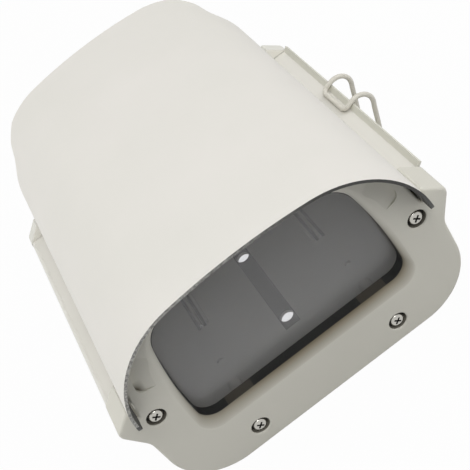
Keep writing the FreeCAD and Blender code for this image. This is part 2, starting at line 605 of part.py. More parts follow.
# Heights at the studs: the arch's top, its underside and the sunshield's underside and middle
stud_x = size("StudX")
spacer_low = crown_z(ARCH_TOP_Z, size("ArchCrownRadius"), size("CoverInset"), stud_x - size("SpacerRadius"))
spacer_high = crown_z(SHIELD_TOP_Z, SHIELD_CROWN_RADIUS, size("ShieldSheet"), stud_x + size("SpacerRadius"))
under_crown = crown_z(ARCH_TOP_Z, size("ArchCrownRadius"), size("CoverInset") + size("CoverWall"),
                      stud_x + size("WasherRadius"))
weld_z = crown_z(SHIELD_TOP_Z, SHIELD_CROWN_RADIUS, size("ShieldSheet") / 2, stud_x)

# Sunshield: one bent sheet, cut to its side profile, with welded studs under the crown
shield = new_body("sunshield")
SHIELD_FRONT = FRONT + " - Sizes.ShieldOverhang"
SHIELD_REAR = REAR + " + Sizes.ShieldTailOverhang"
pad(shield, shield_outline() + backward(shield_outline(size("ShieldSheet"))), SHIELD_FRONT, SHIELD_REAR,
    "shield_section")
front_y = value(SHIELD_FRONT)
tip_y = size("FrontFaceY") - size("ShieldTipOverhang")
below = SHIELD_FOOT_Z - 1
turn_z = SHIELD_FOOT_Z + size("ShieldSweepRise")
sweep = ((tip_y - front_y) ** 2 + size("ShieldSweepRise") ** 2) / (2 * (tip_y - front_y))
sweep_end = 180 + math.degrees(math.asin(size("ShieldSweepRise") / sweep))
front_cut = [arc((front_y + sweep, turn_z), sweep, 180, sweep_end), line((tip_y, SHIELD_FOOT_Z), (tip_y, below)),
             line((tip_y, below), (front_y - 1, below)), line((front_y - 1, below), (front_y - 1, turn_z))]
side_end = value(REAR_JOINT) + size("ShieldSideOverhang")
rear_y = value(SHIELD_REAR)
tail_z = SHIELD_TOP_Z - size("ShieldTailDrop")
tail_radius = size("ShieldTailRadius")
rear_cut = run([(side_end, below), (side_end, tail_z), (rear_y - tail_radius, tail_z + size("ShieldTailRise")),
                (rear_y + 1, tail_z + size("ShieldTailEndRise"))], [tail_radius, tail_radius])
rear_cut = rear_cut + [line((rear_y + 1, tail_z + size("ShieldTailEndRise")), (rear_y + 1, below))]
beyond = SHIELD_FOOT_HALF + 5
for name, edges in (("front", front_cut), ("rear", rear_cut)):
    pocket(shield, edges, "-%f" % beyond, "%f" % beyond, "shield_%s_cut" % name, role="YZ_Plane")
relief_top = size("PartingZ") + size("ShoulderRise") + size("ReliefRise")
margin = size("ReliefMargin")
for name, low, high in (("front", size("FrontFaceY") - margin, value(FRONT_JOINT) + margin),
                        ("rear", value(REAR_JOINT) - margin, side_end + 1)):
    pocket(shield, rectangle((low, below), (high, relief_top)), "-%f" % beyond, "0", "shoulder_relief_" + name,
           role="YZ_Plane")
for index, centre in enumerate(stud_centres):
    pad(shield, circle(centre, size("StudRadius")),
        "%.3f - Sizes.WasherSheet - Sizes.NutHeight - Sizes.StudTip" % under_crown, "%.3f" % weld_z,
        "stud_%d" % index, role="XY_Plane")


def ring(name, centre, low, height, outer, bore, axis="Z"):
    """A round ring; centre is (x, y) for an upright ring and (x, z) for one that lies along Y."""
    if axis == "Z":
        place = (str(centre[0]), str(centre[1]), low)
        tool_place = (str(centre[0]), str(centre[1]), low + " - 1")
    else:
        place = (str(centre[0]), low, str(centre[1]))
        tool_place = (str(centre[0]), low + " - 1", str(centre[1]))
    body = solid("Cylinder", name + "_body", place, axis, Radius=outer, Height=height)
    tool = solid("Cylinder", name + "_bore", tool_place, axis, Radius=bore, Height=height + " + 2")
    return cut(name, body, tool)


# Spacers stand on the arch, and the nuts hold the studs from inside it
group("shield_spacers", [
    ring("spacer_%d" % index, centre, "%.3f" % spacer_low, "%.3f" % (spacer_high - spacer_low),
         "Sizes.SpacerRadius", "Sizes.StudRadius + Sizes.StudFit")
    for index, centre in enumerate(stud_centres)])
group("shield_washers", [
    ring("washer_%d" % index, centre, "%.3f - Sizes.WasherSheet" % under_crown, "Sizes.WasherSheet",
         "Sizes.WasherRadius", "Sizes.StudRadius + Sizes.StudFit")
    for index, centre in enumerate(stud_centres)])


def hex_nut(name, centre, low, height, flats, bore, axis="Z"):
    """A hexagon nut on its stud or thread."""
    prism = doc.addObject("Part::Prism", name + "_prism")
    prism.Polygon = 6
    prism.setExpression("Circumradius", "(%s) / sqrt(3)" % flats)
    prism.setExpression("Height", height)
    if axis == "Y":
        prism.Placement.Rotation = Rotation(Vector(1, 0, 0), -90)
        place = (str(centre[0]), low, str(centre[1]))
        tool_place = (str(centre[0]), low + " - 1", str(centre[1]))
    else:
        place = (str(centre[0]), str(centre[1]), low)
        tool_place = (str(centre[0]), str(centre[1]), low + " - 1")
    for direction, expression in zip("xyz", place):
        prism.setExpression("Placement.Base." + direction, expression)
    tool = solid("Cylinder", name + "_bore", tool_place, axis, Radius=bore, Height=height + " + 2")
    return cut(name, prism, tool)


group("shield_nuts", [
    hex_nut("nut_%d" % index, centre, "%.3f - Sizes.WasherSheet - Sizes.NutHeight" % under_crown,
            "Sizes.NutHeight", "Sizes.NutFlats", "Sizes.StudRadius + Sizes.ThreadFit")
    for index, centre in enumerate(stud_centres)])

# Window pane, the clamp frame behind it, and its gasket, which also lines the opening
glass = new_body("window_glass")
lap = size("PaneLap")
pad(glass, window_outline(lap), PANE_FRONT, PANE_BACK, "pane")
pane_gasket = new_body("window_gasket")
inside = window_outline(-size("LiningSheet"))
pad(pane_gasket, window_outline(size("TunnelWall")), PANE_SEAT, PANE_FRONT, "pane_ring", [inside])
pad(pane_gasket, window_outline(), FRONT + " + Sizes.WindowRound", PANE_SEAT, "tunnel_lining", [inside])
clamp = new_body("window_clamp")
pad(clamp, window_outline(lap), PANE_BACK, CLAMP_BACK, "clamp_frame",
    [window_outline(size("ClampFrameInset"))])
clamp_tab = size("ClampPostRadius") + size("ClampTabMargin")
for index, (x, z) in enumerate(clamp_centres):
    pad(clamp, circle((x, z), clamp_tab), PANE_BACK, CLAMP_BACK, "clamp_ear_%d" % index)
    if index < 2:
        web = rectangle((min(x, x * 0.9), z - clamp_tab), (max(x, x * 0.9), z + clamp_tab))
    else:
        web = rectangle((x - clamp_tab, z), (x + clamp_tab, size("WindowLowZ") - 1.0))
    pad(clamp, web, PANE_BACK, CLAMP_BACK, "clamp_web_%d" % index)
    pocket(clamp, circle((x, z), size("ClampScrewRadius") + size("ClampHoleFit")), PANE_BACK, CLAMP_BACK,
           "clamp_hole_%d" % index)


def pan_screw(name, centre, head_y, toward, radius, head_radius, head_height, length):
    """A pan-head cross screw along Y; head_y is under its head and toward is +1 if its tip points to +Y."""
    x, z = str(centre[0]), str(centre[1])
    head_low = "%s - (%s)" % (head_y, head_height) if toward > 0 else head_y
    shank_low = head_y if toward > 0 else "%s - (%s)" % (head_y, length)
    head = solid("Cylinder", name + "_head", (x, head_low, z), "Y", Radius=head_radius, Height=head_height)
    doc.recompute()
    outer_y = -1 if toward > 0 else 1
    rim = edges_near(head.Shape, lambda point: (point.y - head.Shape.BoundBox.Center.y) * outer_y > 1e-4)
    pan = doc.addObject("Part::Fillet", name + "_pan")
    pan.Base = head
    dome = head.Shape.BoundBox.YLength * 0.55
    pan.Edges = [(int(edge[4:]), dome, dome) for edge in rim]
    shank = solid("Cylinder", name + "_shank", (x, shank_low, z), "Y", Radius=radius, Height=length)
    whole = fused(name + "_whole", [pan, shank])
    blades = []
    for turn in (45, 135):
        blade = doc.addObject("Part::Box", "%s_blade_%d" % (name, turn))
        blade.Length = size("CrossLength") * head.Shape.BoundBox.XLength
        blade.Width = size("CrossDepth") * 2
        blade.Height = size("CrossWidth")
        face_y = head.Shape.BoundBox.YMin if toward > 0 else head.Shape.BoundBox.YMax
        spin = Rotation(Vector(0, 1, 0), turn)
        reach = spin.multVec(Vector(blade.Length.Value / 2, size("CrossDepth"), blade.Height.Value / 2))
        blade.Placement = Placement(Vector(centre[0], face_y, centre[1]) - reach, spin)
        blades.append(blade)
    return cut(name, whole, fused(name + "_cross", blades))


group("clamp_screws", [
    pan_screw("clamp_screw_%d" % index, centre, CLAMP_BACK, -1, "Sizes.ClampScrewRadius", "Sizes.ClampHeadRadius",
              "Sizes.ClampHeadHeight", "Sizes.ClampBite + Sizes.ClampSheet - Sizes.ClampScrewTip")
    for index, centre in enumerate(clamp_centres)])

# Cap screws, each on a rubber washer at the bottom of its well
SEAT_FRONT = FRONT + " + Sizes.WellDepth - Sizes.ScrewSealSheet"
SEAT_REAR = REAR + " - Sizes.WellDepth + Sizes.ScrewSealSheet"
for label, low in (("front_screw_seals", SEAT_FRONT), ("rear_screw_seals", REAR + " - Sizes.WellDepth")):
    group(label, [ring("%s_%d" % (label, index), centre, low, "Sizes.ScrewSealSheet",
                       "Sizes.ScrewHeadRadius + Sizes.WellClearance - Sizes.ScrewSealFit",
                       "Sizes.ScrewRadius + Sizes.ScrewClearance", "Y")
                  for index, centre in enumerate(screw_centres())])
group("front_cap_screws", [
    pan_screw("front_screw_%d" % index, centre, SEAT_FRONT, 1, "Sizes.ScrewRadius", "Sizes.ScrewHeadRadius",
              "Sizes.ScrewHeadHeight", FRONT_JOINT + " + Sizes.ScrewBite - (" + SEAT_FRONT + ")")
    for index, centre in enumerate(screw_centres())])
group("rear_cap_screws", [
    pan_screw("rear_screw_%d" % index, centre, SEAT_REAR, -1, "Sizes.ScrewRadius", "Sizes.ScrewHeadRadius",
              "Sizes.ScrewHeadHeight", SEAT_REAR + " - (" + REAR_JOINT + ") + Sizes.ScrewBite")
    for index, centre in enumerate(screw_centres())])


# Gaskets squeezed between the base and each cap
seat = size("GasketInset")
gasket_top = size("PartingZ") - size("GasketDrop")
ring_outer = run([(0, seat), (BASE_HALF - seat, seat), (BASE_HALF - seat, WAIST_Z),
                  (FLANGE_HALF - seat, gasket_top)],
                 [size("CornerTopZ") - seat, size("WaistRound")])
ring_inner = run([(0, size("BaseFloor")), (BASE_INNER, size("BaseFloor")), (BASE_INNER, gasket_top)],
                 [size("CornerTopZ") - size("BaseWall")])
for label, low, high in (("front_cap_gasket", FRONT_JOINT, BASE_FRONT), ("rear_cap_gasket", BASE_REAR, REAR_JOINT)):
    pad(new_body(label), ring_outer + backward(ring_inner) + mirrored(backward(ring_inner)) + mirrored(ring_outer),
        low, high, label + "_ring")

# Seal strips in the two grooves under the cover's flanges
strips = []
for side in (-1, 1):
    strips.append(solid("Box", "seal_strip_%d" % (side + 1),
                        ("%f - Sizes.SealWidth / 2 + Sizes.SealGap" % (side * seal_x), BASE_FRONT,
                         "Sizes.PartingZ - Sizes.SealDepth"),
                        Length="Sizes.SealWidth - 2 * Sizes.SealGap", Width="%s - (%s)" % (BASE_REAR, BASE_FRONT),
                        Height="Sizes.SealDepth + Sizes.CoverGap - Sizes.SealGap"))
group("cover_seals", strips)

# Hinge pin, through the cover's bead into a socket in each cap
sub_part(solid("Cylinder", "hinge_pin",
               ("Sizes.HingeInset - Sizes.SideHalf - Sizes.ShoulderOverhang",
                FRONT_JOINT + " - Sizes.PinSocket + Sizes.PinEndPlay", "Sizes.PartingZ + Sizes.HingeRise"), "Y",
               Radius="Sizes.HingePinRadius",
               Height="Sizes.BodyLength + 2 * Sizes.PinSocket - 2 * Sizes.PinEndPlay"), "hinge_pin")

# Latch bracket: a plate riveted to the side wall, with an ear inside each leg of the wire
bracket = new_body("latch_bracket")
ear_round = size("EarRadius")
ear_root = size("PlateHalf")
ear = [line((BASE_HALF, LATCH[1] - ear_root), (LATCH[0], LATCH[1] - ear_round)),
       arc(LATCH, ear_round, -90, 90), line((LATCH[0], LATCH[1] + ear_round), (BASE_HALF, LATCH[1] + ear_root))]
EAR_FRONT = "Sizes.WireFrontY + Sizes.EarInset"
EAR_REAR = "Sizes.WireFrontY + Sizes.WireSpan - Sizes.EarInset"
pad(bracket, rectangle((BASE_HALF, LATCH[1] - ear_root), (BASE_HALF + size("LatchPlate"), LATCH[1] + ear_root)),
    EAR_FRONT, EAR_REAR, "latch_plate")
for index, (low, high) in enumerate(((EAR_FRONT, EAR_FRONT + " + Sizes.EarSheet"),
                                     (EAR_REAR + " - Sizes.EarSheet", EAR_REAR))):
    pad(bracket, ear, low, high, "ear_%d" % index)
pocket(bracket, circle(LATCH, size("WireRadius") + size("RunningFit")), EAR_FRONT, EAR_REAR, "wire_holes")
rivet_y = size("WireFrontY") + size("WireSpan") / 2
rivet_centres = [(rivet_y, LATCH[1] + side * size("RivetSpacing") / 2) for side in (-1, 1)]
rivets = []
for index, (y, z) in enumerate(rivet_centres):
    hole = circle((y, z), size("RivetRadius") + size("ThreadFit"))
    pocket(bracket, hole, "%f - 1" % BASE_HALF, "%f + Sizes.LatchPlate + 1" % BASE_HALF, "plate_hole_%d" % index,
           role="YZ_Plane")
    pocket(base, hole, "%f - 1" % BASE_INNER, "%f + 1" % BASE_HALF, "rivet_hole_%d" % index, role="YZ_Plane")
    place = (str(y), str(z))
    shank = solid("Cylinder", "rivet_shank_%d" % index, ("%f" % BASE_INNER,) + place, "X",
                  Radius="Sizes.RivetRadius", Height="Sizes.BaseWall + Sizes.LatchPlate")
    head = solid("Cylinder", "rivet_head_%d" % index, ("%f + Sizes.LatchPlate" % BASE_HALF,) + place, "X",
                 Radius="Sizes.RivetHeadRadius", Height="Sizes.RivetHeadHeight")
    tail = solid("Cylinder", "rivet_tail_%d" % index, ("%f - Sizes.RivetHeadHeight" % BASE_INNER,) + place, "X",
                 Radius="Sizes.RivetHeadRadius", Height="Sizes.RivetHeadHeight")
    rivets.append(fused("rivet_%d" % index, [shank, head, tail]))
group("latch_rivets", rivets)


def bent_path(points, radii):
    """Straight runs through the points, joined by tangent arcs."""
    edges = []
    start = points[0]
    for before, corner, after, radius in zip(points, points[1:], points[2:], radii):
        into = (corner - before).normalize()
        out = (after - corner).normalize()
        turn = into.getAngle(out)
        reach = radius * math.tan(turn / 2)
        first = corner - into * reach
        last = corner + out * reach
        middle = corner + (out - into).normalize() * radius * (1 / math.cos(turn / 2) - 1)
        edges.append(Part.LineSegment(start, first).toShape())
        edges.append(Part.Arc(first, middle, last).toShape())
        start = last
    edges.append(Part.LineSegment(start, points[-1]).toShape())
    return Part.Wire(edges)


# Latch wire: one bent spring wire, from one ear over the lip, along the flange and back to the other ear
front_plane = size("WireFrontY")
rear_plane = size("WireFrontY") + size("WireSpan")
grip = size("EarInset") + size("EarSheet") + size("WireGrip")
crest_x = LIP_FOOT_X + size("LipRise")
crest_z = FLANGE_TOP_Z + size("LipRise")
loop = [LATCH, (crest_x + size("LoopOutX"), crest_z - size("LoopOutDrop")),
        (crest_x + size("LoopTopX"), crest_z + size("LoopTopRise")),
        (crest_x + size("LoopCrestX"), crest_z + size("LoopCrestRise")),
        (LIP_FOOT_X - size("CrossbarInset"), FLANGE_TOP_Z + size("WireRadius") + size("SealGap"))]
route = [Vector(LATCH[0], front_plane + grip, LATCH[1])]
route += [Vector(x, front_plane, z) for x, z in loop]
route += [Vector(x, rear_plane, z) for x, z in reversed(loop)]
route += [Vector(LATCH[0], rear_plane - grip, LATCH[1])]
bends = [size("WireBend"), size("LoopRadius"), size("LoopRadius"), size("CrestRadius"), size("WireBend")]
spine = bent_path(route, bends + bends[::-1])
section = Part.Wire(Part.makeCircle(size("WireRadius"), route[0], Vector(0, 1, 0)))
latch_wire = doc.addObject("Part::Feature", "latch_wire")
latch_wire.Shape = spine.makePipeShell([section], True, True)
sub_part(latch_wire, "latch_wire")

# Cable glands
GLAND_HEX = REAR + " + Sizes.GlandWasher"
GLAND_NECK = GLAND_HEX + " + Sizes.GlandHex"
for side, (x, z) in gland_centres.items():
    name = "gland_%s_" + side
    sub_part(ring(name % "washer", (x, z), REAR, "Sizes.GlandWasher", "Sizes.GlandHexFlats / 2 - Sizes.GlandWasherInset",
                  "Sizes.GlandThreadRadius + Sizes.NeckFit", "Y"), name % "washer")
    sub_part(hex_nut(name % "nut", (x, z), REAR_INNER + " - Sizes.NutThickness", "Sizes.NutThickness",
                     "Sizes.GlandHexFlats", "Sizes.GlandThreadRadius + Sizes.ThreadFit", "Y"), name % "nut")
    hexagon_part = doc.addObject("Part::Prism", name % "hexagon")
    hexagon_part.Placement.Rotation = Rotation(Vector(1, 0, 0), -90)
    hexagon_part.setExpression("Circumradius", "Sizes.GlandHexFlats / sqrt(3)")
    hexagon_part.setExpression("Height", "Sizes.GlandHex")
    for direction, expression in zip("xyz", (str(x), GLAND_HEX, str(z))):
        hexagon_part.setExpression("Placement.Base." + direction, expression)
    thread = solid("Cylinder", name % "thread", (str(x), REAR_INNER + " - Sizes.GlandBack", str(z)), "Y",
                   Radius="Sizes.GlandThreadRadius", Height="Sizes.GlandBack + Sizes.CapFace + Sizes.GlandWasher + 1")
    neck = solid("Cylinder", name % "neck", (str(x), GLAND_NECK + " - 1", str(z)), "Y",
                 Radius="Sizes.NeckRadius", Height="Sizes.NeckLength + 1")
    bore = solid("Cylinder", name % "bore", (str(x), REAR_INNER + " - Sizes.GlandBack - 1", str(z)), "Y",
                 Radius="Sizes.GlandBore", Height="Sizes.GlandBack + Sizes.CapFace + 40")
    sub_part(cut(name % "body", fused(name % "blank", [hexagon_part, thread, neck]), bore), name % "body")
    shell = solid("Cylinder", name % "dome_blank", (str(x), GLAND_NECK + " + Sizes.DomeGap", str(z)), "Y",
                  Radius="Sizes.DomeRadius", Height="Sizes.DomeLength")
    doc.recompute()
    rim = edges_near(shell.Shape, lambda point: point.y > shell.Shape.BoundBox.Center.y)
    dome = doc.addObject("Part::Fillet", name % "dome_round")
    dome.Base = shell
    dome.Edges = [(int(edge[4:]), size("DomeRound"), size("DomeRound")) for edge in rim]
    hollow = solid("Cylinder", name % "dome_hollow", (str(x), GLAND_NECK, str(z)), "Y",
                   Radius="Sizes.NeckRadius + Sizes.NeckFit", Height="Sizes.NeckLength + Sizes.SealLength")
    mouth = solid("Cylinder", name % "dome_mouth", (str(x), GLAND_NECK, str(z)), "Y",
                  Radius="Sizes.GlandBore + Sizes.DomeMouthFit", Height="Sizes.DomeLength + 5")
    sub_part(cut(name % "dome", dome, fused(name % "dome_inside", [hollow, mouth])), name % "dome")
    sub_part(ring(name % "seal", (x, z), GLAND_NECK + " + Sizes.NeckLength", "Sizes.SealLength",
                  "Sizes.NeckRadius - Sizes.NeckFit", "Sizes.SealBore", "Y"), name % "seal")

doc.recompute()
for item in doc.Objects:
    for trouble in ("Invalid", "Error"):
        if trouble in item.State:
            raise RuntimeError("%s is %s" % (item.Name, trouble))
for item in PARTS:
    if item.Shape.isNull() or not item.Shape.isValid():
        raise RuntimeError(item.Label + " has no valid shape")

os.makedirs("parts", exist_ok=True)
for item in PARTS:
    item.Shape.exportStep("parts/%s.step" % item.Label)
    box = item.Shape.BoundBox
    print("%-20s %2d solid %9.1f mm3  x %7.2f %7.2f  y %7.2f %7.2f  z %7.2f %7.2f" % (
        item.Label, len(item.Shape.Solids), item.Shape.Volume,
        box.XMin, box.XMax, box.YMin, box.YMax, box.ZMin, box.ZMax))
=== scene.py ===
import math
import bmesh
import bpy
from mathutils import Matrix, Vector


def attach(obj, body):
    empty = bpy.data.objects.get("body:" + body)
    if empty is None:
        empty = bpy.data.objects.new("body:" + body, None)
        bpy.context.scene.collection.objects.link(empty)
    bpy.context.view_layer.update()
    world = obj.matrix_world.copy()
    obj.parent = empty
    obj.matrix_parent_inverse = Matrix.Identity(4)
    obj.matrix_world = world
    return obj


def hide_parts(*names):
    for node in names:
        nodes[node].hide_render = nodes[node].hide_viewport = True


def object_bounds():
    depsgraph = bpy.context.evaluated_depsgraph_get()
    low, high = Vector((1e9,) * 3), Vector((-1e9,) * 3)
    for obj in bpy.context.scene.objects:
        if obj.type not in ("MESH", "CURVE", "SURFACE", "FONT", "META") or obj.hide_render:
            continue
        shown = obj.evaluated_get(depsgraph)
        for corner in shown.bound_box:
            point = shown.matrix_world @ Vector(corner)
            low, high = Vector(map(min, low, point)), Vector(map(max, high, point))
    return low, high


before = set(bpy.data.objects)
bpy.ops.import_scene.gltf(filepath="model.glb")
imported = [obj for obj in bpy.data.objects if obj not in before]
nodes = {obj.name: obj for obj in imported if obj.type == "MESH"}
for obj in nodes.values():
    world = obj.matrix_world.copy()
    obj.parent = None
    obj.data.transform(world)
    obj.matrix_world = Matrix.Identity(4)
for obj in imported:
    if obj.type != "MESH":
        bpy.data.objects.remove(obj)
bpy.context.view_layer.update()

MM = 0.001
scene = bpy.context.scene

# Places in mm, with x to the latch side, y to the rear and z up
FRONT_FACE_Y = -73.0
REAR_FACE_Y = 68.5
FRONT_HEADS_Y = -72.6
REAR_HEADS_Y = 68.1
CAP_SCREWS_XZ = ((60.4, 49.6), (34.0, 10.4))
STEP_FOOT_XZ = (60, 54)
SHIELD_CORE_Z = 60
SILL_Z = 20.0
LINING_CUT_Y = -69


def linear(red, green, blue):
    """A colour given as 0 to 255, as Blender's linear colour."""
    channels = []
    for value in (red, green, blue):
        share = value / 255
        channels.append(share / 12.92 if share <= 0.04045 else ((share + 0.055) / 1.055) ** 2.4)
    return (*channels, 1.0)


# Camera, above and in front of the window end and rolled, so that the housing lies aslant
CAMERA_PLACE = Vector((3.4, -331.1, 315.5)) * MM
CAMERA_DIP = 40.25
CAMERA_ROLL = 37.3
LENS = 76.6


def add_camera():
    camera = bpy.data.objects.new("camera", bpy.data.cameras.new("camera"))
    scene.collection.objects.link(camera)
    dip = math.radians(CAMERA_DIP)
    roll = math.radians(CAMERA_ROLL)
    ahead = Vector((0, math.cos(dip), -math.sin(dip)))
    level_up = Vector((0, math.sin(dip), math.cos(dip)))
    right = Vector((math.cos(roll), 0, 0)) - level_up * math.sin(roll)
    up = Vector((math.sin(roll), 0, 0)) + level_up * math.cos(roll)
    turn = Matrix((right, up, -ahead)).transposed().to_4x4()
    camera.matrix_world = Matrix.Translation(CAMERA_PLACE) @ turn
    camera.data.lens = LENS
    camera.data.sensor_width = 36
    camera.data.clip_start = 0.01
    scene.camera = camera


# Node helpers
def new_material(name):
    material = bpy.data.materials.new(name)
    material.use_nodes = True
    return material, material.node_tree


def shader(tree):
    return tree.nodes["Principled BSDF"]


def place(tree):
    """Object coordinates, in metres, in the housing's own frame."""
    return tree.nodes.new("ShaderNodeTexCoord").outputs["Object"]


def noise(tree, scale, detail=2.0, roughness=0.5):
    """A cloudy pattern. Scale is about how many clouds there are to the metre."""
    texture = tree.nodes.new("ShaderNodeTexNoise")
    texture.inputs["Scale"].default_value = scale
    texture.inputs["Detail"].default_value = detail
    texture.inputs["Roughness"].default_value = roughness
    tree.links.new(place(tree), texture.inputs["Vector"])
    return texture.outputs["Fac"]


def spread(tree, factor, low, high):
    """Maps a factor's middle range onto low to high."""
    scaled = tree.nodes.new("ShaderNodeMapRange")
    scaled.inputs["From Min"].default_value = 0.3
    scaled.inputs["From Max"].default_value = 0.7
    scaled.inputs["To Min"].default_value = low
    scaled.inputs["To Max"].default_value = high
    tree.links.new(factor, scaled.inputs["Value"])
    return scaled.outputs["Result"]


def feed(tree, value, socket):
    """Gives a socket a value, or links it where the value comes from another node."""
    if isinstance(value, bpy.types.NodeSocket):
        tree.links.new(value, socket)
    else:
        socket.default_value = value


def blend_colours(tree, factor, first, second):
    mix = tree.nodes.new("ShaderNodeMix")
    mix.data_type = "RGBA"
    tree.links.new(factor, mix.inputs["Factor"])
    feed(tree, first, mix.inputs["A"])
    feed(tree, second, mix.inputs["B"])
    return mix.outputs["Result"]


def math_step(tree, operation, first, second=0.0):
    step = tree.nodes.new("ShaderNodeMath")
    step.operation = operation
    feed(tree, first, step.inputs[0])
    feed(tree, second, step.inputs[1])
    return step.outputs["Value"]


def both(tree, first, *others):
    """The product of two or more masks."""
    for other in others:
        first = math_step(tree, "MULTIPLY", first, other)
    return first


def axes(tree):
    split = tree.nodes.new("ShaderNodeSeparateXYZ")
    tree.links.new(place(tree), split.inputs["Vector"])
    return split.outputs["X"], split.outputs["Y"], split.outputs["Z"]


def near(tree, value, middle_mm, reach_mm, soft_mm):
    """1 where a coordinate lies within reach of a place, falling to 0 over a soft margin."""
    away = math_step(tree, "ABSOLUTE", math_step(tree, "SUBTRACT", value, middle_mm * MM))
    margin = math_step(tree, "SUBTRACT", (reach_mm + soft_mm) * MM, away)
    share = math_step(tree, "DIVIDE", margin, soft_mm * MM)
    return math_step(tree, "MINIMUM", math_step(tree, "MAXIMUM", share, 0.0), 1.0)


def colour_with(tree, tone):
    tree.links.new(tone, shader(tree).inputs["Base Color"])


def gloss_with(tree, roughness):
    tree.links.new(roughness, shader(tree).inputs["Roughness"])


def tint(tree, mask, colour):
    """Lays another colour over the paint where the mask is 1."""
    under = shader(tree).inputs["Base Color"].links[0].from_socket
    colour_with(tree, blend_colours(tree, mask, under, colour))


def bump(tree, height, depth_mm):
    """Raises the surface by a height pattern; depth is the pattern's real depth."""
    relief = tree.nodes.new("ShaderNodeBump")
    relief.inputs["Strength"].default_value = 1.0
    relief.inputs["Distance"].default_value = depth_mm * MM
    tree.links.new(height, relief.inputs["Height"])
    tree.links.new(relief.outputs["Normal"], shader(tree).inputs["Normal"])


# Materials, with each paint as its main tone and the shade that it drifts to
# CASTING and REAR_CASTING are two copies of one cap paint: CASTING is darker, as painted shade for the shaded
# front cap, and REAR_CASTING is lighter, as painted light on the rear cap
CASTING = (linear(212, 210, 200), linear(207, 205, 195))
REAR_CASTING = (linear(222, 221, 213), linear(218, 217, 209))
# a paler copy of the cap paint, as a painted highlight on the rear cap's forward-facing steps
STEP_PAINTED_HIGHLIGHT = (linear(244, 242, 235), linear(238, 236, 228))
# darker paint in the screw wells, as painted shade
WELL_PAINTED_SHADE = (linear(128, 125, 115), linear(112, 109, 100))
COVER = (linear(222, 220, 213), linear(218, 216, 208))
SUNSHIELD = (linear(227, 224, 218), linear(223, 221, 214))
# dark grey on the sunshield's inner face, as painted shade under the visor
SUNSHIELD_INSIDE_SHADE = (linear(84, 84, 81), linear(74, 74, 72))
WIRE = (linear(214, 211, 201), linear(206, 203, 193))
# the sunshield's sawn edge: painted shade on the latch side and painted light on the hinge side
EDGE_PAINTED_SHADE = linear(56, 56, 54)
EDGE_PAINTED_LIGHT = linear(112, 111, 108)
SAW_MARKS = linear(178, 177, 172)
# a greyer copy of the cover paint, as painted shade on the lip
LIP_PAINTED_SHADE = linear(213, 212, 201)
# darker paint in the floor channel, and painted shade beside the ribs
DARK_CHANNEL_AND_RIB_SHADE = linear(118, 116, 109)
# painted shade in the foot of the hollow on the hinge side
HOLLOW_FOOT_SHADE = linear(92, 85, 70)
# tan painted shade for the roll round the window
SILL_PAINTED_SHADE = linear(126, 117, 98)
LINING = linear(26, 26, 25)
# browner lengths on the black lining, as a painted reflection
LINING_PAINTED_REFLECTION = linear(66, 62, 55)
BLACK_RUBBER = linear(22, 22, 21)
SEAL_RUBBER = linear(30, 30, 29)
GREY_RUBBER = linear(70, 70, 68)
ZINC = linear(196, 194, 187)
# darker steel in the screws' cross recesses, as painted shade
RECESS_STEEL_SHADE = linear(96, 95, 91)
NYLON = linear(190, 190, 184)
GLASS = (0.80, 0.80, 0.81, 1)
GLASS_IOR = 1.32
PAINT_SPECULAR = 0.12


def scaled_colour(colour, share):
    return tuple(channel * share for channel in colour[:3]) + (1,)


def powder_coat(name, tones, roughness, grain_mm=0.8, depth_mm=0.03):
    """Baked paint: a faint drift of tone, a fine orange peel and a satin gloss that varies a little."""
    material, tree = new_material(name)
    colour_with(tree, blend_colours(tree, spread(tree, noise(tree, 18, 3), 0, 1), *tones))
    gloss_with(tree, spread(tree, noise(tree, 60, 4), roughness - 0.04, roughness + 0.05))
    shader(tree).inputs["Specular IOR Level"].default_value = PAINT_SPECULAR
    bump(tree, noise(tree, 1 / (grain_mm * MM), 2), depth_mm)
    return material


def cut_edge(name):
    """The sheet's sawn edge with its saw marks: painted shade darkens it on the latch side, and painted light
    brightens it and its saw marks on the hinge side.
    """
    material, tree = new_material(name)
    marks = noise(tree, 1100, 4, 0.7)
    # painted light: the edge and its saw marks grow lighter towards the hinge side, and darker towards the
    # latch side as painted shade
    left = near(tree, axes(tree)[0], -66.0, 46.0, 50.0)
    bright = both(tree, spread(tree, marks, -0.5, 1.5), left)
    dull = blend_colours(tree, left, EDGE_PAINTED_SHADE, EDGE_PAINTED_LIGHT)
    colour_with(tree, blend_colours(tree, math_step(tree, "MAXIMUM", bright, 0.0), dull, SAW_MARKS))
    gloss_with(tree, spread(tree, marks, 0.5, 0.8))
    bump(tree, marks, 0.05)
    return material


def cover_paint(name):
    """The cover's paint, greyer on the lip as painted shade, where the lip's slope takes less light."""
    material = powder_coat(name, COVER, 0.48, 0.9, 0.02)
    tree = material.node_tree
    x, _, z = axes(tree)
    # painted shade along the lip
    tint(tree, both(tree, near(tree, x, 76.0, 3.2, 0.4), near(tree, z, 58.0, 3.0, 0.4)), LIP_PAINTED_SHADE)
    return material


def tray_paint(name):
    """The casting's paint, dull and dark in the floor channel, with painted shade along both sides of each
    rib.
    """
    material = powder_coat(name, CASTING, 0.50)
    tree = material.node_tree
    x, y, z = axes(tree)
    across = math_step(tree, "ABSOLUTE", x)
    channel = both(tree, near(tree, z, 2.2, 0.4, 0.1), near(tree, across, 0, 3.8, 0.2))
    beside = math_step(tree, "ABSOLUTE", math_step(tree, "SUBTRACT", across, 33.7 * MM))
    ribs = both(tree, near(tree, z, 3.9, 1.2, 0.1), near(tree, beside, 1.6, 0.6, 0.3),
                near(tree, y, 24.0, 23.0, 0.3))
    # the darker floor channel, and painted shade in the creases beside the ribs
    tint(tree, math_step(tree, "MAXIMUM", channel, ribs), DARK_CHANNEL_AND_RIB_SHADE)
    return material


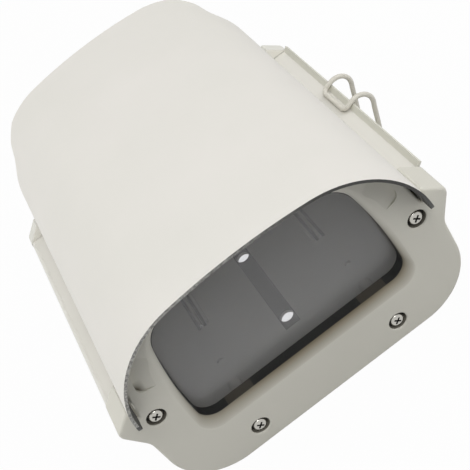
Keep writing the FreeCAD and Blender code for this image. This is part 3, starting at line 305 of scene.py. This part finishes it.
def front_paint(name):
    """The casting's paint, with painted shade in the deep foot of the hollow on the hinge side."""
    material = powder_coat(name, CASTING, 0.50)
    tree = material.node_tree
    x, y, z = axes(tree)
    foot = both(tree, near(tree, y, -71.3, 0.4, 0.6), near(tree, z, 64.0, 2.0, 4.0),
                near(tree, x, -59.0, 6.0, 0.5))
    # painted shade: the hollow's foot is darkened where shadow falls
    tint(tree, foot, HOLLOW_FOOT_SHADE)
    return material


def roll_paint(name):
    """The casting's paint, with a tan painted shade in the roll round the window, deepest along the sill."""
    material = powder_coat(name, CASTING, 0.50)
    tree = material.node_tree
    x, y, z = axes(tree)
    deep = math_step(tree, "POWER", near(tree, y, -69.8, 1.2, 1.9), 0.45)
    low = near(tree, z, SILL_Z, 12.0, 30.0)
    midway = near(tree, x, 10.0, 20.0, 150.0)
    # painted shade: tan deeper into the opening and lower down, weaker towards the latch side
    tint(tree, both(tree, deep, both(tree, low, midway)), SILL_PAINTED_SHADE)
    return material


def rubber(name, colour, roughness):
    material, tree = new_material(name)
    colour_with(tree, blend_colours(tree, noise(tree, 300, 3), colour, scaled_colour(colour, 1.6)))
    gloss_with(tree, spread(tree, noise(tree, 900), roughness - 0.08, roughness + 0.08))
    bump(tree, noise(tree, 2500), 0.02)
    return material


def window_lining(name):
    """Black lining, with browner lengths on each side of the sill as a painted reflection."""
    material = rubber(name, LINING, 0.5)
    tree = material.node_tree
    x, _, z = axes(tree)
    reflection_lengths = near(tree, math_step(tree, "ABSOLUTE", x), 32.0, 6.0, 0.3)
    # painted reflection on each side of the sill
    tint(tree, both(tree, reflection_lengths, near(tree, z, 24.0, 8.0, 1.0)), LINING_PAINTED_REFLECTION)
    return material


def plated_steel(name, colour, roughness):
    """Zinc plate: bright grey with fine scratches and small changes of gloss."""
    material, tree = new_material(name)
    shader(tree).inputs["Metallic"].default_value = 1.0
    colour_with(tree, blend_colours(tree, noise(tree, 700, 4), colour, scaled_colour(colour, 0.8)))
    gloss_with(tree, spread(tree, noise(tree, 1500, 5), roughness - 0.08, roughness + 0.12))
    bump(tree, noise(tree, 3000, 3), 0.01)
    return material


def moulded_nylon(name, colour, roughness):
    material, tree = new_material(name)
    colour_with(tree, blend_colours(tree, noise(tree, 120, 3), colour, scaled_colour(colour, 0.93)))
    gloss_with(tree, spread(tree, noise(tree, 700, 3), roughness - 0.05, roughness + 0.05))
    bump(tree, noise(tree, 1800, 2), 0.015)
    return material


def clear_glass(name):
    """Flat glass under a film of fine grey dust, thicker towards the sill."""
    material, tree = new_material(name)
    shader(tree).inputs["Base Color"].default_value = GLASS
    shader(tree).inputs["IOR"].default_value = GLASS_IOR
    film = math_step(tree, "ADD", noise(tree, 14, 3), near(tree, axes(tree)[2], SILL_Z, 5.0, 70.0))
    tree.links.new(spread(tree, film, 0.945, 0.905), shader(tree).inputs["Transmission Weight"])
    gloss_with(tree, spread(tree, noise(tree, 40, 4), 0.0, 0.02))
    return material


def make_materials():
    return {
        "sheet": powder_coat("sunshield_paint", SUNSHIELD, 0.54, 0.9, 0.02),
        "cut edge": cut_edge("sawn_edge"),
        "painted shield shade": powder_coat("sunshield_inner_shade", SUNSHIELD_INSIDE_SHADE, 0.6, 0.9, 0.02),
        "tray": tray_paint("tray_paint"),
        "lining": window_lining("lining_rubber"),
        "roll": roll_paint("roll_paint"),
        "front casting": front_paint("front_cap_paint"),
        "well": powder_coat("well_shade_paint", WELL_PAINTED_SHADE, 0.6),
        "recess": plated_steel("recess_steel_shade", RECESS_STEEL_SHADE, 0.4),
        "cover": cover_paint("cover_paint"),
        "painted step highlight": powder_coat("step_highlight_paint", STEP_PAINTED_HIGHLIGHT, 0.5),
        "casting": powder_coat("cap_paint", REAR_CASTING, 0.50),
        "wire": powder_coat("wire_coating", WIRE, 0.42, 0.5, 0.02),
        "black rubber": rubber("black_rubber", BLACK_RUBBER, 0.55),
        "screw seal": rubber("seal_rubber", SEAL_RUBBER, 0.6),
        "grey rubber": rubber("grey_rubber", GREY_RUBBER, 0.6),
        "steel": plated_steel("zinc_plate", ZINC, 0.24),
        "nylon": moulded_nylon("grey_nylon", NYLON, 0.5),
        "glass": clear_glass("pane_glass"),
    }


# Finishes of the CAD pieces
FINISHES = {
    "sheet": ["sunshield"],
    "screw seal": ["front_screw_seals", "rear_screw_seals"],
    "cover": ["top_cover"],
    "tray": ["base_shell"],
    "front casting": ["front_cap"],
    "casting": ["rear_cap"],
    "wire": ["latch_wire", "latch_bracket"],
    "black rubber": ["window_gasket", "cover_seals", "gland_washer_left", "gland_washer_right",
                     "gland_seal_left", "gland_seal_right"],
    "grey rubber": ["front_cap_gasket", "rear_cap_gasket"],
    "steel": ["front_cap_screws", "rear_cap_screws", "clamp_screws", "window_clamp", "hinge_pin",
              "latch_rivets", "shield_nuts", "shield_washers"],
    "nylon": ["shield_spacers", "gland_nut_left", "gland_nut_right", "gland_body_left", "gland_body_right",
              "gland_dome_left", "gland_dome_right"],
    "glass": ["window_glass"],
}


def from_screw(point):
    """How far a point lies from the axis of the nearest cap screw, in mm."""
    return min(math.dist((abs(point.x) / MM, point.z / MM), centre) for centre in CAP_SCREWS_XZ)


def well_wall(face_y, inward):
    """A test for the faces of a cap's sunk screw wells, which get a darker paint as painted shade."""
    def chosen(face):
        depth = (face.center.y / MM - face_y) * inward
        return 0.8 < depth < 3.4 and from_screw(face.center) < 4.2
    return chosen


def screw_recess(head_y):
    """A test for the faces of the cross in a cap screw's head, which get darker steel as painted shade."""
    def chosen(face):
        depth = abs(face.center.y / MM - head_y)
        return 0.05 < depth < 1.05 and from_screw(face.center) < 1.7
    return chosen


# The rear cap's forward-facing step faces at the shoulders, which get the paler paint as a painted highlight
def rear_step(face):
    x, z = STEP_FOOT_XZ
    return face.normal.y < -0.9 and face.center.z > z * MM and abs(face.center.x) > x * MM


def sheet_edge(face):
    return abs(face.normal.y) > 0.9


# The sunshield's inner faces, which get the dark grey painted shade
def sheet_inside(face):
    core = Vector((0, face.center.y, SHIELD_CORE_Z * MM))
    return not sheet_edge(face) and face.normal.dot(face.center - core) < 0


def finish_faces(name, material, chosen):
    """Gives the chosen faces of a CAD piece a further material of their own."""
    mesh = nodes[name].data
    mesh.materials.append(material)
    for face in mesh.polygons:
        if chosen(face):
            face.material_index = len(mesh.materials) - 1


def finish_nodes(materials):
    for finish, names in FINISHES.items():
        for name in names:
            nodes[name].data.materials.clear()
            nodes[name].data.materials.append(materials[finish])
    # painted shade in the screw wells of both caps
    finish_faces("front_cap", materials["well"], well_wall(FRONT_FACE_Y, 1))
    finish_faces("rear_cap", materials["well"], well_wall(REAR_FACE_Y, -1))
    # painted highlight on the rear cap's shoulder steps
    finish_faces("rear_cap", materials["painted step highlight"], rear_step)
    finish_faces("sunshield", materials["cut edge"], sheet_edge)
    # painted shade on the sunshield's inner face
    finish_faces("sunshield", materials["painted shield shade"], sheet_inside)
    # painted shade in the cross recesses of the cap screws
    finish_faces("front_cap_screws", materials["recess"], screw_recess(FRONT_HEADS_Y))
    finish_faces("rear_cap_screws", materials["recess"], screw_recess(REAR_HEADS_Y))


# Window surround, with each step's way inwards at the sides, sill and top, and its y, in mm
ROLL_SIDE = (-3.6, 3.8)
ROLL_SILL = (-3.6, 6.6)
ROLL_TOP = (-3.6, 3.0)
ROLL_DEPTH = (-70.4, -2.62)
ROLL_BACK = [(-1.5, -1.0, -1.5, -70.2), (-3.6, -3.6, -3.6, -72.0)]
ROLL_STEP_DEGREES = 9
LINING_STEPS = [(-1.2, -0.2, -1.6, -70.5), (0.12, 2.9, -0.7, -70.5), (0.12, 2.9, -0.7, -65.62),
                (-1.2, -0.2, -1.6, -65.62)]
SMOOTH_TO_DEGREES = 50


def lining_outline():
    """The inner outline of the window's lining, as edges in a level plane."""
    form = bmesh.new()
    form.from_mesh(nodes["window_gasket"].data)
    bmesh.ops.remove_doubles(form, verts=form.verts, dist=0.01 * MM)
    bmesh.ops.bisect_plane(form, geom=form.verts[:] + form.edges[:] + form.faces[:], dist=0.001 * MM,
                           plane_co=(0, LINING_CUT_Y * MM, 0), plane_no=(0, 1, 0),
                           clear_inner=True, clear_outer=True)
    bmesh.ops.remove_doubles(form, verts=form.verts, dist=0.05 * MM)
    outer = {min(form.verts, key=lambda vertex: vertex.co.x)}
    reached = 0
    while len(outer) > reached:
        reached = len(outer)
        outer |= {edge.other_vert(vertex) for vertex in outer for edge in vertex.link_edges}
    bmesh.ops.delete(form, geom=list(outer), context="VERTS")
    return form


def corner(form, pick):
    """The lowest or highest corner of a form's box, as pick is min or max."""
    return Vector([pick(vertex.co[axis] for vertex in form.verts) for axis in range(3)])


def sweep_ring(profile):
    """A closed ring round the window, through a list of steps."""
    form = lining_outline()
    low = corner(form, min)
    high = corner(form, max)
    first = rim = form.edges[:]
    verts = form.verts[:]
    was_low, was_high = low, high
    for step, (side, sill, top, depth) in enumerate(profile):
        if step:
            made = bmesh.ops.extrude_edge_only(form, edges=rim)["geom"]
            verts = [item for item in made if isinstance(item, bmesh.types.BMVert)]
            edges = [item for item in made if isinstance(item, bmesh.types.BMEdge)]
            rim = [edge for edge in edges if set(edge.verts) <= set(verts)]
        new_low = Vector((low.x + side * MM, depth * MM, low.z + sill * MM))
        new_high = Vector((high.x - side * MM, depth * MM, high.z - top * MM))
        middle = (was_low + was_high) / 2
        growth = [(new_high[axis] - new_low[axis]) / (was_high[axis] - was_low[axis]) for axis in (0, 2)]
        bmesh.ops.scale(form, vec=(growth[0], 1, growth[1]), verts=verts, space=Matrix.Translation(-middle))
        bmesh.ops.translate(form, vec=(new_low + new_high) / 2 - middle, verts=verts)
        was_low, was_high = new_low, new_high
    bmesh.ops.bridge_loops(form, edges=first + rim)
    bmesh.ops.recalc_face_normals(form, faces=form.faces)
    return form


def add_piece(name, form, material, body):
    mesh = bpy.data.meshes.new(name)
    form.to_mesh(mesh)
    form.free()
    mesh.shade_smooth()
    mesh.set_sharp_from_angle(angle=math.radians(SMOOTH_TO_DEGREES))
    mesh.materials.append(material)
    piece = bpy.data.objects.new(name, mesh)
    scene.collection.objects.link(piece)
    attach(piece, body)


def roll_steps():
    """A quarter turn from the flat face into the window, and then back behind it."""
    steps = []
    for turn in range(0, 91, ROLL_STEP_DEGREES):
        inward, deep = math.sin(math.radians(turn)), math.cos(math.radians(turn))
        ways = [start + way * inward for start, way in (ROLL_SIDE, ROLL_SILL, ROLL_TOP)]
        steps.append((*ways, ROLL_DEPTH[0] + ROLL_DEPTH[1] * deep))
    return steps + ROLL_BACK


def add_window_surround(materials):
    """The casting's soft roll round the opening, and the black lining from there back to the pane."""
    add_piece("window_roll", sweep_ring(roll_steps()), materials["roll"], "housing")
    add_piece("window_lining", sweep_ring(LINING_STEPS), materials["lining"], "housing")


# Latch wire, as the points along its front half in mm; the rear half mirrors them
WIRE_HALF = [(79.5, 1.4, 31.0), (79.5, -1.3, 31.0), (79.9, -3.5, 32.9), (80.4, -3.6, 35.1),
             (83.2, -3.6, 47.9), (84.0, -3.6, 51.9), (83.3, -3.6, 54.9), (81.0, -3.6, 57.3),
             (77.9, -3.6, 58.1), (74.8, -3.6, 57.4), (72.6, -3.4, 56.5), (71.4, -1.9, 55.95),
             (71.3, 0.4, 55.9), (71.3, 4.0, 55.9)]
WIRE_MIDDLE_Y = 6.05
WIRE_RADIUS = 1.1


def add_latch_wire(material):
    """One bent spring wire: two hooked legs, a round loop over the lip on each, and the crossbar between."""
    curve = bpy.data.curves.new("latch_spring", "CURVE")
    curve.dimensions = "3D"
    curve.bevel_depth = WIRE_RADIUS * MM
    curve.bevel_resolution = 5
    curve.resolution_u = 8
    curve.use_fill_caps = True
    points = WIRE_HALF + [(x, 2 * WIRE_MIDDLE_Y - y, z) for x, y, z in reversed(WIRE_HALF)]
    spline = curve.splines.new("BEZIER")
    spline.bezier_points.add(len(points) - 1)
    for knot, point in zip(spline.bezier_points, points):
        knot.co = Vector(point) * MM
        knot.handle_left_type = "AUTO"
        knot.handle_right_type = "AUTO"
    curve.materials.append(material)
    wire = bpy.data.objects.new("latch_spring", curve)
    scene.collection.objects.link(wire)
    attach(wire, "latch")
    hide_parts("latch_wire")


# Studio, with each lamp's place and width in metres and its power in watts
LAMPS = {
    "above": ((0, 0.25, 1.2), 0.9, 2.3),
    "left": ((-1.15, 0.25, 0.35), 0.8, 6.2),
    "right": ((1.0, -0.12, 0.8), 0.8, 5.1),
    "front": ((0.1, -0.75, 1.1), 0.5, 5.4),
}
LIT_MIDDLE = Vector((0, 0, 0.05))
SURROUND = 0.35
FLOOR_REACH = 3.0
FLOOR_GREY = (0.6, 0.6, 0.6, 1)
FLOOR_WHITE_SHARE = 0.97
WHITE = (1, 1, 1, 1)


def seen_directly(tree):
    """1 for what the camera sees, for reflections and for what shows through glass; otherwise 0."""
    rays = tree.nodes.new("ShaderNodeLightPath")
    total = rays.outputs["Is Camera Ray"]
    for name in ("Is Glossy Ray", "Is Transmission Ray"):
        total = math_step(tree, "MAXIMUM", total, rays.outputs[name])
    return total


def mix_shaders(tree, share, first, second, output):
    mix = tree.nodes.new("ShaderNodeMixShader")
    tree.links.new(share, mix.inputs["Fac"])
    tree.links.new(first, mix.inputs[1])
    tree.links.new(second, mix.inputs[2])
    tree.links.new(mix.outputs["Shader"], tree.nodes[output].inputs["Surface"])


def backdrop_material():
    """A floor that keeps a faint shadow, and is otherwise plain white to the camera and in reflections."""
    material, tree = new_material("studio_white")
    shader(tree).inputs["Base Color"].default_value = FLOOR_GREY
    shader(tree).inputs["Roughness"].default_value = 0.9
    white = tree.nodes.new("ShaderNodeEmission")
    share = math_step(tree, "MULTIPLY", seen_directly(tree), FLOOR_WHITE_SHARE)
    mix_shaders(tree, share, shader(tree).outputs["BSDF"], white.outputs["Emission"], "Material Output")
    return material


def add_floor():
    mesh = bpy.data.meshes.new("floor")
    form = bmesh.new()
    bmesh.ops.create_grid(form, x_segments=1, y_segments=1, size=FLOOR_REACH)
    form.to_mesh(mesh)
    form.free()
    floor = bpy.data.objects.new("floor", mesh)
    floor.data.materials.append(backdrop_material())
    scene.collection.objects.link(floor)
    floor.location.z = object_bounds()[0][2] - 0.5 * MM


def add_lamp(name, location, width, power):
    lamp = bpy.data.objects.new(name, bpy.data.lights.new(name, "AREA"))
    lamp.data.size = width
    lamp.data.energy = power
    lamp.location = location
    lamp.rotation_euler = (LIT_MIDDLE - Vector(location)).to_track_quat("-Z", "Y").to_euler()
    scene.collection.objects.link(lamp)


def add_world():
    """A dim even surround for the object; the camera and reflections see plain white."""
    world = bpy.data.worlds.new("studio")
    world.use_nodes = True
    tree = world.node_tree
    surround = tree.nodes["Background"]
    surround.inputs["Strength"].default_value = SURROUND
    surround.inputs["Color"].default_value = WHITE
    white = tree.nodes.new("ShaderNodeBackground")
    white.inputs["Color"].default_value = WHITE
    mix_shaders(tree, seen_directly(tree), surround.outputs["Background"], white.outputs["Background"],
                "World Output")
    scene.world = world


def add_studio():
    """Soft light from above, from both sides and from the front, which the sunshield keeps off the window."""
    add_floor()
    add_world()
    for name, settings in LAMPS.items():
        add_lamp(name, *settings)
    scene.view_settings.view_transform = "Standard"


add_camera()
materials = make_materials()
finish_nodes(materials)
add_window_surround(materials)
add_latch_wire(materials["wire"])
add_studio()
